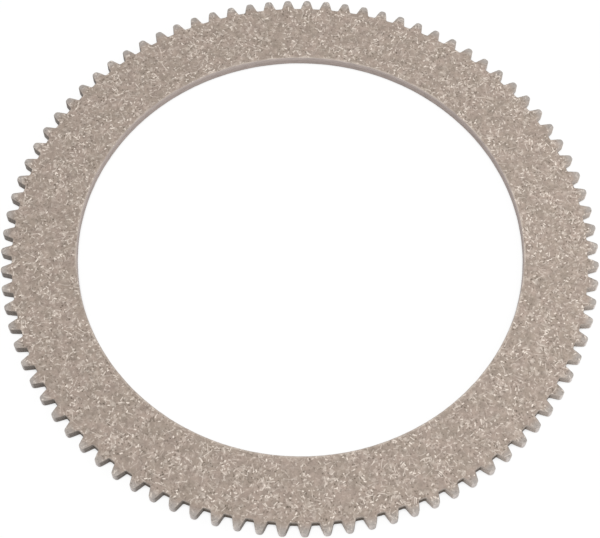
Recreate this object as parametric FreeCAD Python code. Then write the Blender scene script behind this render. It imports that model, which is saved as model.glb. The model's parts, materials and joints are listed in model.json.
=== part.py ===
import FreeCAD, Part
import math
import os

# Brake disc without a steel core: one flat ring, moulded from fibre-filled friction material.
# Its gear teeth slide in a toothed carrier, both flat faces rub, and the bore is plain.
# Lengths are in millimetres. The origin is the centre of the bore on the lower face,
# +Z is the axis of the ring, and +X runs through the middle of a tooth.

# Teeth
module = 2.5  # pitch circle diameter for each tooth
tooth_count = 89
pressure_angle = math.radians(20)
addendum = 2.25  # from the pitch circle out to the tips
tooth_height = 4.1  # from the root circle out to the tips
backlash = 0.1  # how much thinner than half the pitch a tooth is, so that the disc slides
tip_rounding = 1.2  # radius of the corners between the tip and its two flanks

# Ring
face_width = 24.4  # plain part of the friction faces, from the bore to the root circle
thickness = 4.0

pitch_radius = module * tooth_count / 2
base_radius = pitch_radius * math.cos(pressure_angle)
tip_radius = pitch_radius + addendum
root_radius = tip_radius - tooth_height
bore_radius = root_radius - face_width
tooth_thickness = math.pi * module / 2 - backlash
angle_per_tooth = 2 * math.pi / tooth_count

CENTRE = FreeCAD.Vector(0, 0, 0)
UP = FreeCAD.Vector(0, 0, 1)


def involute(angle):
    """How far round the base circle an involute has come where its pressure angle is this."""
    return math.tan(angle) - angle


def flank_angle(radius, inwards=0.0):
    """Angle from the middle of a tooth to its flank at a radius.

    An involute that is moved along its own normals is the same involute turned about the
    axis. So the centre of a corner's rounding lies on the flank moved inwards by its radius.
    """
    start = tooth_thickness / 2 / pitch_radius + involute(pressure_angle)
    return start - inwards / base_radius - involute(math.acos(base_radius / radius))


def place(radius, angle):
    return FreeCAD.Vector(radius * math.cos(angle), radius * math.sin(angle), 0)


def mirrored(points):
    """The same points on the other side of the tooth's middle."""
    return [FreeCAD.Vector(point.x, -point.y, 0) for point in points]


def arc(points):
    start, middle, end = points
    return Part.Arc(start, middle, end).toShape()


# A flank leans away from the tooth's middle by its pressure angle, so this is the largest
# rounding whose end stays on its own half of the tip, with a tenth of the tip left flat
half_tip = tip_radius * flank_angle(tip_radius)
tip_pressure_angle = math.acos(base_radius / tip_radius)
largest_rounding = 0.9 * half_tip * math.tan((math.pi / 2 + tip_pressure_angle) / 2)
tip_corner = min(tip_rounding, largest_rounding)
corner_radius = tip_radius - tip_corner
corner_angle = flank_angle(corner_radius, inwards=tip_corner)

# The string that draws an involute leaves the base circle straight, and ends square to the
# flank, so from the corner's centre it is one rounding longer where the flank ends
string_to_corner = math.sqrt(corner_radius ** 2 - base_radius ** 2)
flank_end_radius = math.hypot(base_radius, string_to_corner + tip_corner)


def flank_points():
    """Start, middle and end of a flank, from the root circle to the tip's corner.

    So short a piece of the involute is an arc to within a thousandth of a millimetre.
    """
    middle_radius = (root_radius + flank_end_radius) / 2
    radii = (root_radius, middle_radius, flank_end_radius)
    return [place(radius, flank_angle(radius)) for radius in radii]


def corner_points():
    """Start, middle and end of a tip's corner, from the flank to the tip circle."""
    centre = place(corner_radius, corner_angle)
    start = flank_points()[-1]
    end = place(tip_radius, corner_angle)
    outwards = (start + end) / 2 - centre
    outwards.normalize()
    return [start, centre + outwards * tip_corner, end]


def root_points():
    """Start, middle and end of the root circle between two teeth."""
    start = flank_angle(root_radius)
    middle = angle_per_tooth / 2
    return [place(root_radius, angle) for angle in (start, middle, angle_per_tooth - start)]


def tooth_edges():
    """The outline of the tooth on +X and of the gap after it, in order round the ring."""
    flank = flank_points()
    corner = corner_points()
    tip = [mirrored(corner)[-1], place(tip_radius, 0), corner[-1]]
    return [
        arc(mirrored(flank)),
        arc(mirrored(corner)),
        arc(tip),
        arc(reversed(corner)),
        arc(reversed(flank)),
        arc(root_points()),
    ]


def toothed_blank():
    """A solid disc with all its teeth, as thick as the ring."""
    edges = []
    for number in range(tooth_count):
        for edge in tooth_edges():
            edge.rotate(CENTRE, UP, math.degrees(number * angle_per_tooth))
            edges.append(edge)
    return Part.Face(Part.Wire(edges)).extrude(UP * thickness)


def brake_disc():
    """The toothed blank with the plain bore cut through it."""
    bore = Part.makeCylinder(bore_radius, thickness, CENTRE, UP)
    return toothed_blank().cut(bore)


os.makedirs("parts", exist_ok=True)
brake_disc().exportStep("parts/brake_disc.step")
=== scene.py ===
import json
import math
from collections import namedtuple

import bmesh
import bpy
from mathutils import Matrix, Vector, noise


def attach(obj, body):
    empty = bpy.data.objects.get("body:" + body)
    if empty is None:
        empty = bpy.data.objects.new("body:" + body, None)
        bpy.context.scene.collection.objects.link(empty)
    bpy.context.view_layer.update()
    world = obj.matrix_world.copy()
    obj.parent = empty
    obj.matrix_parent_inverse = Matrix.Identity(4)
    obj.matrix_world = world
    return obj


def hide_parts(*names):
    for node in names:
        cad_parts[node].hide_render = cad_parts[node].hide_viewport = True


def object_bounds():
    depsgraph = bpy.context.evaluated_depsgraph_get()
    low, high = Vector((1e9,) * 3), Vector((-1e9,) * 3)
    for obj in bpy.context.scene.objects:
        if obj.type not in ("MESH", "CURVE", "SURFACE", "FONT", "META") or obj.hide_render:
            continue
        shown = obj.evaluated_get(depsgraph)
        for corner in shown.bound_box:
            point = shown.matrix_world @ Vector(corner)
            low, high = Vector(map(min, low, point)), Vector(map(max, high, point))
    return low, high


# Brake disc moulded in one piece from fibre-filled friction material: the finish of its
# friction faces, walls and edges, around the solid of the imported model. Lengths are in metres.

bl_info = {
    "name": "Brake Disc",
    "version": (1, 0, 0),
    "blender": (4, 5, 0),
    "location": "View3D > Sidebar > Brake Disc",
    "description": "Finishes a toothed brake disc moulded from friction material",
    "category": "Object",
}

MM = 0.001
NODE = "brake_disc"
BODY = "root"
PIECE = "friction_ring"
MERGE = 0.002 * MM  # points nearer than this are one
FLAT = 0.999  # a face counts as flat where its normal's part along the axis is over this
FINE_WEAR = 0.9 * MM  # distance between the small nicks of the worn edges
COARSE_WEAR = 4 * MM  # distance between their long, shallow ones
WEAR_SEED = 1  # any number but 0, with which the edges would wear differently on each run
TINT_PATCH = 6 * MM  # distance between patches of the resin's two colours
GRAIN = 3.4 * MM  # coarsest mottling of the filler, whose own grains are too fine to show
PALE_STRETCH = 3 * MM  # distance between pale stretches of the bore's worn edge
STREAK_LENGTH = 4 * MM  # along the wall
RELIEF = 0.1 * MM  # how far fibres and streaks stand proud, and pits lie deep
PRESSED_IN = 0.02 * MM  # how far the disc sinks into the paper, so that they share no plane
PAPER_WHITE = 1.05  # a little over 1, so that a faint shadow still leaves it white
OPEN_SKY = 0.7  # share of open sky from which on the paper shows plain white

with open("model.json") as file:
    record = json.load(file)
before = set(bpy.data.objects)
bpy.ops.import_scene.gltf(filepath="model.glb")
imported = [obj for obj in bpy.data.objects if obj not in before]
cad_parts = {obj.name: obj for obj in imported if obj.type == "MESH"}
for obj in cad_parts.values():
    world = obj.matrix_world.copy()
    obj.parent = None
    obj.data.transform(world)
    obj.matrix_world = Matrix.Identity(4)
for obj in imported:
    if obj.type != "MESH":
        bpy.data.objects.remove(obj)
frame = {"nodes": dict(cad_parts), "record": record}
CAD_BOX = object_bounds()


def mount_sizes(name):
    """The sizes that the record gives for a mount, in its own units."""
    return next(mount["dims"] for mount in frame["record"]["mounts"] if mount["name"] == name)


def from_axis(point):
    return math.hypot(point.x, point.y)


TOOTH_COUNT = mount_sizes("outer_teeth")["count"]
TIP_RADIUS = mount_sizes("outer_teeth")["r_mm"] * MM
BORE_RADIUS = mount_sizes("bore")["r_mm"] * MM
MIDDLE = (CAD_BOX[0].z + CAD_BOX[1].z) / 2
ROOT_RADIUS = min(from_axis(vertex.co) for vertex in frame["nodes"][NODE].data.vertices
                  if from_axis(vertex.co) > (BORE_RADIUS + TIP_RADIUS) / 2)


def linear(hex_colour):
    """An sRGB hex colour as the linear numbers that shaders take."""
    channels = [int(hex_colour[at:at + 2], 16) / 255 for at in (1, 3, 5)]
    return [c / 12.92 if c <= 0.04045 else ((c + 0.055) / 1.055) ** 2.4 for c in channels]


def colour(name, description, hex_colour):
    return bpy.props.FloatVectorProperty(
        name=name, description=description, subtype="COLOR", min=0, max=1,
        default=linear(hex_colour))


def length(name, description, millimetres):
    """A length of 0 or more, which the sidebar shows in the scene's unit."""
    return bpy.props.FloatProperty(
        name=name, description=description, unit="LENGTH", min=0,
        default=millimetres * MM)


def angle(name, description, degrees):
    return bpy.props.FloatProperty(
        name=name, description=description, subtype="ANGLE", default=math.radians(degrees))


def share(name, description, part):
    """A number from 0 to 1, which the sidebar shows as a slider."""
    return bpy.props.FloatProperty(
        name=name, description=description, subtype="FACTOR", min=0, max=1, default=part)


class BrakeDiscEdges(bpy.types.PropertyGroup):
    root_rounding: length(
        "Root rounding", "Radius where a tooth's flank runs into the root circle", 0.6)
    longest_step: length(
        "Longest step", "Longest straight piece of the outline and of the bore", 0.8)
    rim_rounding: length(
        "Rim rounding", "Radius of the worn edges round both friction faces", 0.18)
    rim_steps: bpy.props.IntProperty(
        name="Rim steps", description="Faces across the rounding of a worn edge", default=3,
        min=1)
    rim_wear: length(
        "Rim wear", "How far the worn edges wander in and out", 0.05)


class BrakeDiscFace(bpy.types.PropertyGroup):
    resin: colour("Resin", "Cured resin and mineral filler between the fibres", "#A5958A")
    resin_cool: colour("Cool resin", "Resin where its filler is greyer", "#9F9185")
    tooth_skin: colour("Tooth skin", "Greyer skin of the tooth tips, which no plate rubs",
                       "#A8A29D")
    fibre: colour("Fibre", "Chopped fibres cut open by grinding", "#F0E4D8")
    # Painted shade: the pits' dark colour stands in for the shade in them and beside the fibres.
    pit_shade: colour("Pit", "Small pits between the fibres", "#5E5348")
    fleck_length: length("Fleck length", "Longest of the fibres that are cut off short", 1.4)
    fibre_length: length("Fibre length", "Longest of the fibres that lie in the face", 2.4)
    thread_length: length("Thread length", "Longest of the few long threads", 4.5)
    fibre_width: length("Fibre width", "Width of a fibre bundle", 0.42)
    patch: length("Patch", "Distance between patches rich in fibres", 7.0)
    roughness: share("Roughness", "Ground friction face, dull all over", 0.85)


class BrakeDiscWall(bpy.types.PropertyGroup):
    skin: colour("Skin", "Smooth moulded skin of the bore", "#B4A8A2")
    # Painted shade: the bore is painted darker towards its lower edge, for the shade near the
    # floor.
    foot_shade: colour("Foot", "Lower half of the bore, where dust settles", "#A69993")
    flank: colour("Flank", "Moulded skin of the teeth", "#A1978F")
    # Painted light: the tips of the teeth walls are painted paler, for the light they catch.
    lit_tip: colour("Tip", "Tips of the teeth, worn pale", "#C4BCB7")
    # Painted shade: dark colour low in the roots of the tooth gaps, where the teeth hide the
    # light.
    gap: colour("Gap", "Dark dust in the root of the tooth gaps", "#5C5045")
    # Painted light and shade: one flank of each tooth painted darker, the other lighter.
    bias: share("Flank bias", "How much darker one side of the teeth is than the mean", 0.42)
    rim: colour("Rim", "Resin-rich rounding along the outline of the teeth", "#8E857D")
    worn: colour("Worn edge", "Pale fibres laid bare along the bore's edges", "#CFC4B8")
    streak: length("Streak", "Height of the fibre layers that show on the walls", 0.7)
    roughness: share("Roughness", "Moulded skin, dull with a faint sheen", 0.7)


class BrakeDiscStage(bpy.types.PropertyGroup):
    floor: colour("Floor", "Pale plain floor", "#D8D8D8")
    floor_size: length("Floor size", "Side of the square floor", 6000.0)
    shadow: share("Shadow", "How much of the disc's shadow shows on the floor", 0.1)
    contact: share("Contact shadow", "How dark the floor is where walls hide its light", 0.5)
    contact_reach: length("Contact reach", "How far the walls darken the floor", 1.8)
    sky: bpy.props.FloatProperty(
        name="Sky", description="Strength of the even light from all round", default=0.86, min=0)
    key_power: bpy.props.FloatProperty(
        name="Key light", description="Soft lamp beyond the right side", default=0.93, min=0,
        unit="POWER")
    key_size: length("Key size", "Side of the soft lamp", 300.0)
    key_distance: length("Key distance", "From the disc's middle to the soft lamp", 550.0)
    key_elevation: angle("Key elevation", "Lamp's height above the disc's plane", 40)
    key_azimuth: angle("Key azimuth", "Lamp's place round the disc, from +X", -10)
    fill_power: bpy.props.FloatProperty(
        name="Fill light", description="Weak lamp low beyond the left side", default=1.8, min=0,
        unit="POWER")
    fill_size: length("Fill size", "Side of the weak lamp", 600.0)
    fill_distance: length("Fill distance", "From the disc's middle to the weak lamp", 1500.0)
    fill_elevation: angle("Fill elevation", "Lamp's height above the disc's plane", 15)
    fill_azimuth: angle("Fill azimuth", "Lamp's place round the disc, from +X", 215)
    lens: bpy.props.FloatProperty(
        name="Lens", description="Focal length on a 36 mm wide sensor", default=89.87, min=1)
    distance: length("Distance", "From the disc's middle to the camera", 572.3)
    elevation: angle("Elevation", "Camera's height above the disc's plane", 62.72)
    azimuth: angle("Azimuth", "Camera's place round the disc, from +X", -90.41)
    roll: angle("Roll", "Turn of the camera about its own line of sight", 2.35)
    aim_x: length("Aim X", "Point of the disc's mid plane that the camera faces", 7.66)
    aim_y: bpy.props.FloatProperty(
        name="Aim Y", description="The same point's place along Y", default=-9.63 * MM,
        unit="LENGTH")
    shift: bpy.props.FloatProperty(
        name="Shift", description="Sideways shift of the picture, in picture widths",
        default=-0.0349)


def select_only(piece):
    bpy.ops.object.select_all(action="DESELECT")
    piece.select_set(True)
    bpy.context.view_layer.objects.active = piece


def select_edges(piece, wanted):
    """Select the edges that wanted() says yes to, and give their number."""
    bpy.ops.mesh.select_mode(type="EDGE")
    bpy.ops.mesh.select_all(action="DESELECT")
    mesh = bmesh.from_edit_mesh(piece.data)
    chosen = [edge for edge in mesh.edges if wanted(edge)]
    for edge in chosen:
        edge.select_set(True)
    bmesh.update_edit_mesh(piece.data)
    return len(chosen)


def is_upright(edge):
    along = edge.verts[1].co - edge.verts[0].co
    return abs(along.z) > 0.99 * along.length


def is_root_corner(edge):
    """An upright edge where a flank meets the root circle."""
    return (is_upright(edge) and len(edge.link_faces) == 2
            and edge.calc_face_angle_signed() < math.radians(-40))


def is_outline(edge):
    """A level edge of the outline or the bore, between a face and a wall."""
    if len(edge.link_faces) < 2:
        return False
    return edge.calc_face_angle() > math.radians(80) and not is_upright(edge)


def keep_one_tooth():
    """Cut all but the tooth on +X away, with its share of the ring."""
    half_pitch = math.pi / TOOTH_COUNT
    bpy.ops.mesh.select_all(action="SELECT")
    bpy.ops.mesh.remove_doubles(threshold=MERGE)
    for side in (1, -1):
        bpy.ops.mesh.select_all(action="SELECT")
        outwards = (-math.sin(half_pitch), side * math.cos(half_pitch), 0)
        bpy.ops.mesh.bisect(plane_co=(0, 0, 0), plane_no=outwards, clear_outer=True)
    bpy.ops.mesh.select_all(action="SELECT")
    bpy.ops.mesh.dissolve_limited(angle_limit=math.radians(0.05))


def round_root_corners(piece, radius):
    """Run both flanks into the root circle with a true rounding."""
    select_edges(piece, is_root_corner)
    mesh = bmesh.from_edit_mesh(piece.data)
    corner = next(edge for edge in mesh.edges if edge.select)
    reach = radius * math.tan(corner.calc_face_angle() / 2)
    bpy.ops.mesh.bevel(offset=reach, segments=4, affect="EDGES")


def shorten_steps(piece, longest):
    """Divide the level edges of both walls until none is longer than this."""
    while select_edges(piece, lambda edge: is_outline(edge) and edge.calc_length() > longest):
        bpy.ops.mesh.subdivide(number_cuts=1)
    mesh = bmesh.from_edit_mesh(piece.data)
    for vertex in mesh.verts:
        out = from_axis(vertex.co)
        if out < BORE_RADIUS * 1.01:
            vertex.co.x *= BORE_RADIUS / out
            vertex.co.y *= BORE_RADIUS / out
    bmesh.update_edit_mesh(piece.data)


def divide_ring(rows):
    """Split the ring's part of both faces into rows, so that no face is long and thin."""
    depth = (ROOT_RADIUS - BORE_RADIUS) / rows
    for row in range(1, rows):
        bpy.ops.mesh.select_all(action="SELECT")
        bpy.ops.mesh.bisect(plane_co=(BORE_RADIUS + row * depth, 0, 0), plane_no=(1, 0, 0))


def spin_teeth():
    """Copy the tooth round the axis, and join the copies into one ring."""
    bpy.ops.mesh.select_all(action="SELECT")
    pitch = 2 * math.pi / TOOTH_COUNT
    bpy.ops.mesh.spin(steps=TOOTH_COUNT - 1, angle=pitch * (TOOTH_COUNT - 1), dupli=True,
                      center=(0, 0, 0), axis=(0, 0, 1))
    bpy.ops.mesh.select_all(action="SELECT")
    bpy.ops.mesh.remove_doubles(threshold=MERGE)
    bpy.ops.mesh.normals_make_consistent(inside=False)


def round_rims(piece, radius, steps):
    """Round the edges of both faces, with a narrow flat band inside the rounding."""
    mesh = bmesh.from_edit_mesh(piece.data)
    for vertex in mesh.verts:
        vertex.co.z += radius if vertex.co.z < MIDDLE else -radius
    bmesh.update_edit_mesh(piece.data)
    bpy.ops.mesh.select_mode(type="FACE")
    bpy.ops.mesh.select_all(action="DESELECT")
    mesh = bmesh.from_edit_mesh(piece.data)
    for face in mesh.faces:
        face.select_set(abs(face.normal.z) > 0.9)
    bmesh.update_edit_mesh(piece.data)
    for step in range(steps):
        start = math.pi / 2 * step / steps
        end = math.pi / 2 * (step + 1) / steps
        bpy.ops.mesh.inset(thickness=radius * (math.cos(start) - math.cos(end)),
                           depth=radius * (math.sin(end) - math.sin(start)))
    bpy.ops.mesh.inset(thickness=radius / 2, depth=0)


def wear_rims(piece, sizes):
    """Let the worn edges wander a little, as the cut fibres leave them."""
    noise.seed_set(WEAR_SEED)
    top = 2 * MIDDLE
    band = sizes.rim_rounding * 1.01
    for vertex in piece.data.vertices:
        depth = min(vertex.co.z, top - vertex.co.z)
        out = from_axis(vertex.co)
        if depth > band or ROOT_RADIUS - 2 * band > out > BORE_RADIUS + 2 * band:
            continue
        fine = noise.noise_vector(vertex.co / FINE_WEAR)
        coarse = noise.noise_vector(vertex.co / COARSE_WEAR)
        move = sizes.rim_wear * (fine + coarse)
        sink = abs(move.z) * depth / band
        if vertex.co.z > MIDDLE:
            sink = -sink
        vertex.co += Vector((move.x, move.y, sink))


class BRAKE_DISC_OT_ring(bpy.types.Operator):
    """Shape the ring from one tooth of the solid, and wear its edges"""

    bl_idname = "brake_disc.ring"
    bl_label = "Shape the ring"

    def execute(self, context):
        sizes = context.scene.brake_disc_edges
        piece = bpy.data.objects.new(PIECE, frame["nodes"][NODE].data.copy())
        context.scene.collection.objects.link(piece)
        select_only(piece)
        bpy.ops.object.mode_set(mode="EDIT")
        keep_one_tooth()
        round_root_corners(piece, sizes.root_rounding)
        shorten_steps(piece, sizes.longest_step)
        divide_ring(rows=4)
        spin_teeth()
        round_rims(piece, sizes.rim_rounding, sizes.rim_steps)
        bpy.ops.object.mode_set(mode="OBJECT")
        wear_rims(piece, sizes)
        bpy.ops.object.shade_smooth_by_angle(angle=math.radians(40))
        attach(piece, BODY)
        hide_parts(NODE)
        return {"FINISHED"}


def add_node(tree, kind, settings=None, inputs=None):
    """Add a node, set its settings, and link or fill its inputs."""
    node = tree.nodes.new(kind)
    for name, value in (settings or {}).items():
        setattr(node, name, value)
    for key, value in (inputs or {}).items():
        socket = node.inputs[key]
        if isinstance(value, bpy.types.NodeSocket):
            tree.links.new(value, socket)
        elif socket.type == "RGBA":
            socket.default_value = (*value[:3], 1)
        else:
            socket.default_value = value
    return node


def new_material(name):
    material = bpy.data.materials.new(name)
    material.use_nodes = True
    material.node_tree.nodes.clear()
    return material


def fibre_group():
    """Node group that scatters straight and bent fibres, one in each cell of a Voronoi pattern.

    Cover is above 0 on a fibre. Each fibre has its own strength there, and few are strong.
    """
    tree = bpy.data.node_groups.new("scattered_fibres", "ShaderNodeTree")
    face = tree.interface
    face.new_socket("Place", in_out="INPUT", socket_type="NodeSocketVector")
    for name in ("Length", "Width", "Bend", "Rarity", "Strength"):
        face.new_socket(name, in_out="INPUT", socket_type="NodeSocketFloat")
    face.new_socket("Cover", in_out="OUTPUT", socket_type="NodeSocketFloat")
    given = add_node(tree, "NodeGroupInput").outputs
    cells = add_node(tree, "ShaderNodeTexVoronoi", {"voronoi_dimensions": "2D"},
                     {"Vector": given["Place"], "Scale": 1.0})
    chance = add_node(tree, "ShaderNodeSeparateColor", {}, {0: cells.outputs["Color"]}).outputs
    offset = add_node(tree, "ShaderNodeVectorMath", {"operation": "SUBTRACT"},
                      {0: given["Place"], 1: cells.outputs["Position"]})
    turn = add_node(tree, "ShaderNodeMath", {"operation": "MULTIPLY"},
                    {0: chance[0], 1: 2 * math.pi})
    turned = add_node(tree, "ShaderNodeVectorRotate", {"rotation_type": "Z_AXIS"},
                      {"Vector": offset.outputs[0], "Angle": turn.outputs[0]})
    part = add_node(tree, "ShaderNodeSeparateXYZ", {}, {0: turned.outputs[0]}).outputs
    square = add_node(tree, "ShaderNodeMath", {"operation": "MULTIPLY"}, {0: part[0], 1: part[0]})
    bend = add_node(tree, "ShaderNodeMath", {"operation": "MULTIPLY_ADD"},
                    {0: chance[1], 1: 2.0, 2: -1.0})
    bend = add_node(tree, "ShaderNodeMath", {"operation": "MULTIPLY"},
                    {0: bend.outputs[0], 1: given["Bend"]})
    bent = add_node(tree, "ShaderNodeMath", {"operation": "MULTIPLY_ADD"},
                    {0: square.outputs[0], 1: bend.outputs[0], 2: part[1]})
    across = add_node(tree, "ShaderNodeMath", {"operation": "ABSOLUTE"}, {0: bent.outputs[0]})
    across = add_node(tree, "ShaderNodeMath", {"operation": "DIVIDE"},
                      {0: across.outputs[0], 1: given["Width"]})
    along = add_node(tree, "ShaderNodeMath", {"operation": "ABSOLUTE"}, {0: part[0]})
    reach = add_node(tree, "ShaderNodeMath", {"operation": "MULTIPLY_ADD"},
                     {0: chance[1], 1: 0.6, 2: 0.4})
    reach = add_node(tree, "ShaderNodeMath", {"operation": "MULTIPLY"},
                     {0: reach.outputs[0], 1: given["Length"]})
    along = add_node(tree, "ShaderNodeMath", {"operation": "DIVIDE"},
                     {0: along.outputs[0], 1: reach.outputs[0]})
    beside = add_node(tree, "ShaderNodeMapRange", {"interpolation_type": "SMOOTHSTEP"},
                      {0: across.outputs[0], 1: 0.1, 2: 0.65, 3: 1.0, 4: 0.0})
    ends = add_node(tree, "ShaderNodeMapRange", {"interpolation_type": "SMOOTHSTEP"},
                    {0: along.outputs[0], 1: 0.4, 2: 0.5, 3: 1.0, 4: 0.0})
    cover = add_node(tree, "ShaderNodeMath", {"operation": "MULTIPLY"},
                     {0: beside.outputs[0], 1: ends.outputs[0]})
    strength = add_node(tree, "ShaderNodeMath", {"operation": "POWER"},
                        {0: chance[2], 1: given["Rarity"]})
    strength = add_node(tree, "ShaderNodeMath", {"operation": "MULTIPLY"},
                        {0: strength.outputs[0], 1: given["Strength"]})
    cover = add_node(tree, "ShaderNodeMath", {"operation": "MULTIPLY"},
                     {0: cover.outputs[0], 1: strength.outputs[0]})
    add_node(tree, "NodeGroupOutput", {}, {"Cover": cover.outputs[0]})
    return tree


# One layer of fibres or pits: their distance, greatest length and width in metres, how far they
# bend, how rare and how strong the strong ones are, and their colour and relief
Scatter = namedtuple(
    "Scatter", "apart longest width bend rarity strength tint relief", defaults=("ADD",))


def fibre_layers(finish):
    """All that lies scattered in the face, from the lowest layer to the topmost."""
    fleck, fibre, thread = finish.fleck_length, finish.fibre_length, finish.thread_length
    narrow = finish.fibre_width
    wide = 1.4 * narrow
    # The pits sink into the relief, and their dark tint is painted shade.
    pits = Scatter(0.9 * fleck, 0.7 * fleck, wide, bend=0.3, rarity=2.5, strength=0.85,
                   tint=finish.pit_shade, relief="SUBTRACT")
    smudges = Scatter(1.7 * fleck, 1.9 * fleck, 4 * narrow, bend=0.3, rarity=2.0,
                      strength=0.38, tint=finish.fibre)
    fibres = Scatter(1.1 * fibre, fibre, narrow, bend=0.3, rarity=3.0, strength=0.92,
                     tint=finish.fibre)
    flecks = Scatter(1.2 * fleck, fleck, wide, bend=0.2, rarity=3.8, strength=1.15,
                     tint=finish.fibre)
    threads = Scatter(0.9 * thread, thread, narrow, bend=0.4, rarity=2.0, strength=0.6,
                      tint=finish.fibre)
    return [pits, smudges, pits, fibres, fibres, flecks, flecks, threads, threads]


def add_scatter(tree, group, place, number, scatter):
    """Scatter one layer, turned and moved by its number, and give its cover."""
    moved = add_node(tree, "ShaderNodeMapping", {},
                     {"Vector": place, "Location": (3.7 * number + 0.31, 1.9 * number, 0),
                      "Rotation": (0, 0, 0.7 * number), "Scale": (1 / scatter.apart,) * 3})
    fibres = add_node(tree, "ShaderNodeGroup", {"node_tree": group},
                      {"Place": moved.outputs[0], "Length": scatter.longest / scatter.apart,
                       "Width": scatter.width / scatter.apart, "Bend": scatter.bend,
                       "Rarity": scatter.rarity, "Strength": scatter.strength})
    return fibres.outputs["Cover"]


def add_radius(tree, place):
    """Distance of each point from the disc's axis."""
    across = add_node(tree, "ShaderNodeVectorMath", {"operation": "MULTIPLY"},
                      {0: place, 1: (1, 1, 0)})
    return add_node(tree, "ShaderNodeVectorMath", {"operation": "LENGTH"},
                    {0: across.outputs[0]}).outputs["Value"]


def add_resin(tree, place, finish):
    """Colour and relief of the resin and filler that the fibres lie in."""
    hue = add_node(tree, "ShaderNodeTexNoise", {"noise_dimensions": "2D"},
                   {"Vector": place, "Scale": 1 / TINT_PATCH, "Detail": 1.0})
    hue = add_node(tree, "ShaderNodeMapRange", {},
                   {0: hue.outputs["Fac"], 1: 0.3, 2: 0.7, 3: 0.0, 4: 1.0})
    shade = add_node(tree, "ShaderNodeMix", {"data_type": "RGBA"},
                     {0: hue.outputs[0], 6: finish.resin_cool, 7: finish.resin}).outputs[2]
    grain = add_node(tree, "ShaderNodeTexNoise", {"noise_dimensions": "2D"},
                     {"Vector": place, "Scale": 1 / GRAIN, "Detail": 5.0, "Roughness": 0.72})
    grain = add_node(tree, "ShaderNodeMapRange", {},
                     {0: grain.outputs["Fac"], 1: 0.3, 2: 0.7, 3: 0.81, 4: 1.17}).outputs[0]
    shade = add_node(tree, "ShaderNodeMix", {"data_type": "RGBA", "blend_type": "MULTIPLY"},
                     {0: 1.0, 6: shade, 7: grain}).outputs[2]
    return shade, grain


def add_richness(tree, place, radius, patch):
    """How strongly the fibres show: more in some patches, and less on the teeth."""
    patches = add_node(tree, "ShaderNodeTexNoise", {"noise_dimensions": "2D"},
                       {"Vector": place, "Scale": 1 / patch, "Detail": 2.0})
    rich = add_node(tree, "ShaderNodeMapRange", {"interpolation_type": "SMOOTHSTEP"},
                    {0: patches.outputs["Fac"], 1: 0.35, 2: 0.6, 3: 0.45, 4: 0.96})
    ring = add_node(tree, "ShaderNodeMapRange", {"interpolation_type": "SMOOTHSTEP"},
                    {0: radius, 1: ROOT_RADIUS - 0.5 * MM, 2: ROOT_RADIUS + 2.5 * MM, 3: 1.0,
                     4: 0.7})
    return add_node(tree, "ShaderNodeMath", {"operation": "MULTIPLY"},
                    {0: rich.outputs[0], 1: ring.outputs[0]}).outputs[0]


def add_dull_surface(tree, shade, roughness, height, strength):
    """End a material in a dull surface with this colour and relief."""
    bump = add_node(tree, "ShaderNodeBump", {},
                    {"Strength": strength, "Distance": RELIEF, "Height": height})
    surface = add_node(tree, "ShaderNodeBsdfPrincipled", {},
                       {"Base Color": shade, "Roughness": roughness, "IOR": 1.5,
                        "Specular IOR Level": 0.3, "Normal": bump.outputs[0]})
    add_node(tree, "ShaderNodeOutputMaterial", {}, {"Surface": surface.outputs[0]})


def face_material(finish, worn):
    """Ground friction material: resin and filler with chopped fibres lying in its plane.

    It looks dull and stony, with pale smudges, flecks and threads, small pits beside them that
    are painted dark as their shade, a greyer skin on the teeth, and a thin pale line where the
    edge of the bore is worn.
    """
    material = new_material("ground_friction_material")
    tree = material.node_tree
    group = fibre_group()
    place = add_node(tree, "ShaderNodeTexCoord").outputs["Object"]
    radius = add_radius(tree, place)
    shade, height = add_resin(tree, place, finish)
    at_tip = add_node(tree, "ShaderNodeMapRange", {"interpolation_type": "SMOOTHSTEP"},
                      {0: radius, 1: ROOT_RADIUS, 2: TIP_RADIUS - 0.3 * MM, 3: 0.0, 4: 0.9})
    shade = add_node(tree, "ShaderNodeMix", {"data_type": "RGBA"},
                     {0: at_tip.outputs[0], 6: shade, 7: finish.tooth_skin}).outputs[2]
    rich = add_richness(tree, place, radius, finish.patch)
    for number, scatter in enumerate(fibre_layers(finish)):
        cover = add_scatter(tree, group, place, number, scatter)
        seen = add_node(tree, "ShaderNodeMath", {"operation": "MULTIPLY"},
                        {0: cover, 1: rich}).outputs[0]
        shade = add_node(tree, "ShaderNodeMix", {"data_type": "RGBA"},
                         {0: seen, 6: shade, 7: scatter.tint}).outputs[2]
        height = add_node(tree, "ShaderNodeMath", {"operation": scatter.relief},
                          {0: height, 1: seen}).outputs[0]
    shade = add_worn_line(tree, place, radius, shade, worn)
    add_dull_surface(tree, shade, finish.roughness, height, strength=0.5)
    return material


def add_worn_line(tree, place, radius, shade, worn):
    """Lay a thin, broken pale line round the bore, where the edge is worn."""
    near = add_node(tree, "ShaderNodeMapRange", {"interpolation_type": "SMOOTHSTEP"},
                    {0: radius, 1: BORE_RADIUS + 0.4 * MM, 2: BORE_RADIUS + 1.0 * MM, 3: 1.0,
                     4: 0.0})
    broken = add_node(tree, "ShaderNodeTexNoise", {},
                      {"Vector": place, "Scale": 1 / PALE_STRETCH, "Detail": 1.0})
    broken = add_node(tree, "ShaderNodeMapRange", {"interpolation_type": "SMOOTHSTEP"},
                      {0: broken.outputs["Fac"], 1: 0.35, 2: 0.6, 3: 0.1, 4: 0.5})
    cover = add_node(tree, "ShaderNodeMath", {"operation": "MULTIPLY"},
                     {0: near.outputs[0], 1: broken.outputs[0]})
    return add_node(tree, "ShaderNodeMix", {"data_type": "RGBA"},
                    {0: cover.outputs[0], 6: shade, 7: worn}).outputs[2]


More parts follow.
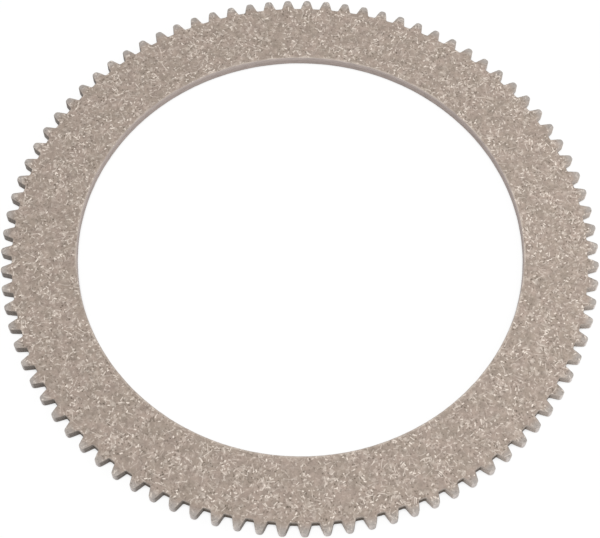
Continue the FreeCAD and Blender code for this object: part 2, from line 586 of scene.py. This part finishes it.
def add_painted_flank_shading(tree, bias):
    """Paint shade on the flanks that face round the axis one way, and paint light on the others.
    """
    here = add_node(tree, "ShaderNodeTexCoord").outputs
    around = add_node(tree, "ShaderNodeVectorMath", {"operation": "CROSS_PRODUCT"},
                      {0: (0, 0, 1), 1: here["Object"]})
    around = add_node(tree, "ShaderNodeVectorMath", {"operation": "NORMALIZE"},
                      {0: around.outputs[0]})
    facing = add_node(tree, "ShaderNodeVectorMath", {"operation": "DOT_PRODUCT"},
                      {0: around.outputs[0], 1: here["Normal"]})
    return add_node(tree, "ShaderNodeMapRange", {},
                    {0: facing.outputs["Value"], 1: -0.9, 2: 0.9, 3: 1 + bias,
                     4: 1 - bias}).outputs[0]


def add_wall_shade(tree, place, finish):
    """Colours of the walls: the bore's skin with painted shade low down, and the teeth's flanks,
    tips painted pale as lit, roots painted with shade, and rims.
    """
    radius = add_radius(tree, place)
    up = add_node(tree, "ShaderNodeSeparateXYZ", {}, {0: place}).outputs[2]
    outside = add_node(tree, "ShaderNodeMath", {"operation": "GREATER_THAN"},
                       {0: radius, 1: (BORE_RADIUS + ROOT_RADIUS) / 2}).outputs[0]
    # Painted shade: 0 at the top, rising to 1 at mid height and below, where the bore is painted
    # darker.
    low = add_node(tree, "ShaderNodeMapRange", {"interpolation_type": "SMOOTHSTEP"},
                   {0: up, 1: 2.0 * MIDDLE, 2: 1.0 * MIDDLE, 3: 0.0, 4: 1.0}).outputs[0]
    # Painted light: the teeth walls are painted paler towards the tips.
    at_tip = add_node(tree, "ShaderNodeMapRange", {"interpolation_type": "SMOOTHSTEP"},
                      {0: radius, 1: TIP_RADIUS - 0.9 * MM, 2: TIP_RADIUS - 0.3 * MM, 3: 0.0,
                       4: 1.0}).outputs[0]
    # Painted shade: the roots of the tooth gaps are painted dark on their lower part.
    in_gap = add_node(tree, "ShaderNodeMapRange", {"interpolation_type": "SMOOTHSTEP"},
                      {0: radius, 1: ROOT_RADIUS + 0.5 * MM, 2: ROOT_RADIUS + 0.1 * MM, 3: 0.0,
                       4: 1.0}).outputs[0]
    in_gap = add_node(tree, "ShaderNodeMath", {"operation": "MULTIPLY"},
                      {0: in_gap, 1: outside}).outputs[0]
    shaded_root = add_node(tree, "ShaderNodeMapRange", {"interpolation_type": "SMOOTHSTEP"},
                     {0: up, 1: 1.8 * MIDDLE, 2: 1.2 * MIDDLE, 3: 0.0, 4: 1.0}).outputs[0]
    shaded_root = add_node(tree, "ShaderNodeMath", {"operation": "MULTIPLY"},
                     {0: shaded_root, 1: in_gap}).outputs[0]
    rim = add_node(tree, "ShaderNodeMapRange", {"interpolation_type": "SMOOTHSTEP"},
                   {0: up, 1: 1.8 * MIDDLE, 2: 1.9 * MIDDLE, 3: 0.0, 4: 0.3}).outputs[0]
    rim = add_node(tree, "ShaderNodeMath", {"operation": "MULTIPLY"},
                   {0: rim, 1: outside}).outputs[0]
    # Painted shade on the bore's foot and the roots, and painted light on the tips.
    shade = finish.skin
    for cover, tint in ((low, finish.foot_shade), (outside, finish.flank), (at_tip, finish.lit_tip),
                        (shaded_root, finish.gap), (rim, finish.rim)):
        shade = add_node(tree, "ShaderNodeMix", {"data_type": "RGBA"},
                         {0: cover, 6: shade, 7: tint}).outputs[2]
    return shade


def wall_material(finish):
    """Moulded skin of the same material on bore and teeth.

    It is smoother and greyer than the ground faces, with thin streaks where the fibre layers
    end. The bore is painted darker towards its lower edge as shade. The teeth have tips painted
    pale as lit, painted shade low in their roots, and one flank painted darker and the other
    lighter, as shade and light.
    """
    material = new_material("moulded_friction_skin")
    tree = material.node_tree
    place = add_node(tree, "ShaderNodeTexCoord").outputs["Object"]
    shade = add_wall_shade(tree, place, finish)
    flat = add_node(tree, "ShaderNodeMapping", {},
                    {"Vector": place,
                     "Scale": (1 / STREAK_LENGTH, 1 / STREAK_LENGTH, 1 / finish.streak)})
    streaks = add_node(tree, "ShaderNodeTexNoise", {},
                       {"Vector": flat.outputs[0], "Scale": 1.0, "Detail": 3.0}).outputs["Fac"]
    level = add_node(tree, "ShaderNodeMapRange", {},
                     {0: streaks, 1: 0.3, 2: 0.7, 3: 0.85, 4: 1.12})
    # Painted light and shade by which way each flank faces round the axis.
    level = add_node(tree, "ShaderNodeMath", {"operation": "MULTIPLY"},
                     {0: level.outputs[0], 1: add_painted_flank_shading(tree, finish.bias)})
    shade = add_node(tree, "ShaderNodeMix", {"data_type": "RGBA", "blend_type": "MULTIPLY"},
                     {0: 1.0, 6: shade, 7: level.outputs[0]}).outputs[2]
    add_dull_surface(tree, shade, finish.roughness, streaks, strength=0.3)
    return material


class BRAKE_DISC_OT_finish(bpy.types.Operator):
    """Give the friction faces and the walls their finishes"""

    bl_idname = "brake_disc.finish"
    bl_label = "Finish the surfaces"

    def execute(self, context):
        scene = context.scene
        piece = bpy.data.objects[PIECE]
        mesh = piece.data
        mesh.materials.clear()
        wall = scene.brake_disc_wall
        mesh.materials.append(face_material(scene.brake_disc_face, wall.worn))
        mesh.materials.append(wall_material(wall))
        for polygon in mesh.polygons:
            polygon.material_index = 0 if abs(polygon.normal.z) > FLAT else 1
        return {"FINISHED"}


def add_seen(tree):
    """1 for what the camera sees, straight or in gloss or glass, and 0 for light on the disc."""
    rays = add_node(tree, "ShaderNodeLightPath").outputs
    seen = add_node(tree, "ShaderNodeMath", {"operation": "ADD", "use_clamp": True},
                    {0: rays["Is Camera Ray"], 1: rays["Is Glossy Ray"]})
    return add_node(tree, "ShaderNodeMath", {"operation": "ADD", "use_clamp": True},
                    {0: seen.outputs[0], 1: rays["Is Transmission Ray"]}).outputs[0]


def floor_material(stage):
    """Matt white paper: it shows plain white, and still takes the disc's soft shadow.

    Close to the disc and between its teeth it is darker, where the walls hide the light.
    """
    material = new_material("matt_paper")
    tree = material.node_tree
    paper = add_node(tree, "ShaderNodeBsdfDiffuse", {}, {"Color": stage.floor})
    hidden = add_node(tree, "ShaderNodeAmbientOcclusion", {"samples": 16},
                      {"Distance": stage.contact_reach})
    strength = add_node(tree, "ShaderNodeMapRange", {},
                        {0: hidden.outputs["AO"], 1: 0.0, 2: OPEN_SKY,
                         3: PAPER_WHITE - stage.contact, 4: PAPER_WHITE})
    white = add_node(tree, "ShaderNodeEmission", {},
                     {"Color": (1, 1, 1), "Strength": strength.outputs[0]})
    plain = add_node(tree, "ShaderNodeMath", {"operation": "MULTIPLY"},
                     {0: add_seen(tree), 1: 1 - stage.shadow})
    both = add_node(tree, "ShaderNodeMixShader", {},
                    {0: plain.outputs[0], 1: paper.outputs[0], 2: white.outputs[0]})
    add_node(tree, "ShaderNodeOutputMaterial", {}, {"Surface": both.outputs[0]})
    return material


def fill_sky(tree, strength):
    """Even light from all round, behind a plain white background."""
    tree.nodes.clear()
    light = add_node(tree, "ShaderNodeBackground", {}, {"Color": (1, 1, 1), "Strength": strength})
    white = add_node(tree, "ShaderNodeBackground", {}, {"Color": (1, 1, 1), "Strength": 1.0})
    both = add_node(tree, "ShaderNodeMixShader", {},
                    {0: add_seen(tree), 1: light.outputs[0], 2: white.outputs[0]})
    add_node(tree, "ShaderNodeOutputWorld", {}, {"Surface": both.outputs[0]})


def place_round(distance, elevation, azimuth):
    """A point this far from the origin, above the disc's plane and round from +X."""
    across = math.cos(elevation) * distance
    return Vector((across * math.cos(azimuth), across * math.sin(azimuth),
                   distance * math.sin(elevation)))


def add_lamp(stage, name):
    """Add a square soft lamp, which the stage's sizes of this name place and turn."""
    size, power, distance, elevation, azimuth = (
        getattr(stage, name + "_" + part)
        for part in ("size", "power", "distance", "elevation", "azimuth"))
    spot = place_round(distance, elevation, azimuth)
    bpy.ops.object.light_add(type="AREA", location=spot)
    lamp = bpy.context.object
    lamp.name = name + "_light"
    lamp.data.shape = "SQUARE"
    lamp.data.size = size
    lamp.data.energy = power
    lamp.rotation_euler = (-spot).to_track_quat("-Z", "Y").to_euler()


def add_floor(stage):
    """Lay the disc on a wide sheet of paper."""
    bpy.ops.object.select_all(action="DESELECT")
    height = CAD_BOX[0].z + PRESSED_IN
    bpy.ops.mesh.primitive_plane_add(size=stage.floor_size, location=(0, 0, height))
    floor = bpy.context.object
    floor.name = "paper_floor"
    bpy.ops.object.transform_apply(location=True, rotation=True, scale=True)
    floor.data.materials.append(floor_material(stage))


def add_camera(stage):
    """Add the camera where the photo was taken from."""
    middle = Vector((0, 0, MIDDLE))
    spot = middle + place_round(stage.distance, stage.elevation, stage.azimuth)
    aim = middle + Vector((stage.aim_x, stage.aim_y, 0))
    turn = (aim - spot).to_track_quat("-Z", "Y").to_matrix()
    turn = turn @ Matrix.Rotation(stage.roll, 3, "Z")
    bpy.ops.object.camera_add(location=spot, rotation=turn.to_euler())
    camera = bpy.context.object
    camera.name = "photo_camera"
    camera.data.lens = stage.lens
    camera.data.sensor_width = 36
    camera.data.shift_x = stage.shift
    camera.data.clip_start = 10 * MM
    bpy.context.scene.camera = camera


class BRAKE_DISC_OT_stage(bpy.types.Operator):
    """Add the floor, the soft light and the camera"""

    bl_idname = "brake_disc.stage"
    bl_label = "Set the stage"

    def execute(self, context):
        stage = context.scene.brake_disc_stage
        add_floor(stage)
        world = context.scene.world or bpy.data.worlds.new("soft_sky")
        context.scene.world = world
        world.use_nodes = True
        fill_sky(world.node_tree, stage.sky)
        for name in ("key", "fill"):
            add_lamp(stage, name)
        add_camera(stage)
        context.scene.view_settings.view_transform = "Standard"
        return {"FINISHED"}


class BRAKE_DISC_PT_panel(bpy.types.Panel):
    bl_label = "Brake Disc"
    bl_idname = "BRAKE_DISC_PT_panel"
    bl_space_type = "VIEW_3D"
    bl_region_type = "UI"
    bl_category = "Brake Disc"

    def draw(self, context):
        for group in SETTINGS:
            settings = getattr(context.scene, group)
            box = self.layout.box()
            for name in settings.__annotations__:
                box.prop(settings, name)
        for operator in OPERATORS:
            self.layout.operator(operator.bl_idname)


SETTINGS = {
    "brake_disc_edges": BrakeDiscEdges,
    "brake_disc_face": BrakeDiscFace,
    "brake_disc_wall": BrakeDiscWall,
    "brake_disc_stage": BrakeDiscStage,
}
OPERATORS = (BRAKE_DISC_OT_ring, BRAKE_DISC_OT_finish, BRAKE_DISC_OT_stage)


def register():
    for cls in (*SETTINGS.values(), *OPERATORS, BRAKE_DISC_PT_panel):
        bpy.utils.register_class(cls)
    for name, cls in SETTINGS.items():
        setattr(bpy.types.Scene, name, bpy.props.PointerProperty(type=cls))


def unregister():
    for name in SETTINGS:
        delattr(bpy.types.Scene, name)
    for cls in reversed((*SETTINGS.values(), *OPERATORS, BRAKE_DISC_PT_panel)):
        bpy.utils.unregister_class(cls)


def main():
    register()
    bpy.ops.brake_disc.ring()
    bpy.ops.brake_disc.finish()
    bpy.ops.brake_disc.stage()


if __name__ == "__main__":
    main()
